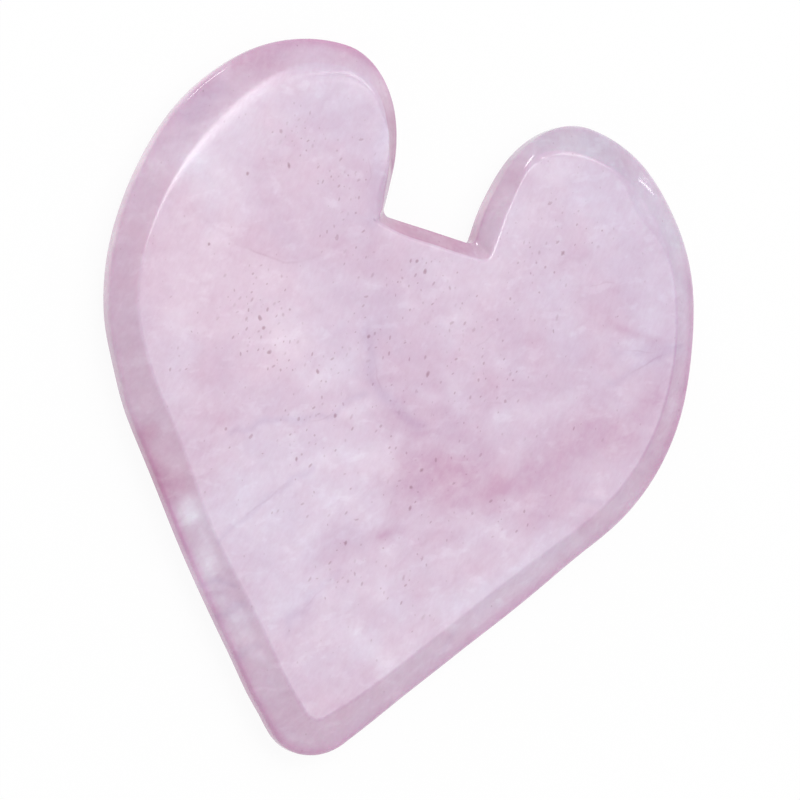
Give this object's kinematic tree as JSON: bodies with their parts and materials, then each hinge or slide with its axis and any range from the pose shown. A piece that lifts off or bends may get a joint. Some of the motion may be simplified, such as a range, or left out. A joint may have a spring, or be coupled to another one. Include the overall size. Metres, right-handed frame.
{
  "type": "gua sha scraper",
  "caption": "Heart-shaped massage scraper of polished rose quartz: a flat plate, bevelled all round, with a square notch between its lobes.",
  "frame": {"origin": "under the middle of the plate, on the face it lies on", "axes": "+Y from the tip towards the lobes, +Z out of the upper flat face, +X to the right seen from above"},
  "size_m": [0.0694, 0.075, 0.006],
  "materials": {
    "rose_quartz": "polished"
  },
  "bodies": {
    "root": {"heart_stone": "rose_quartz"}
  },
  "joints": []
}
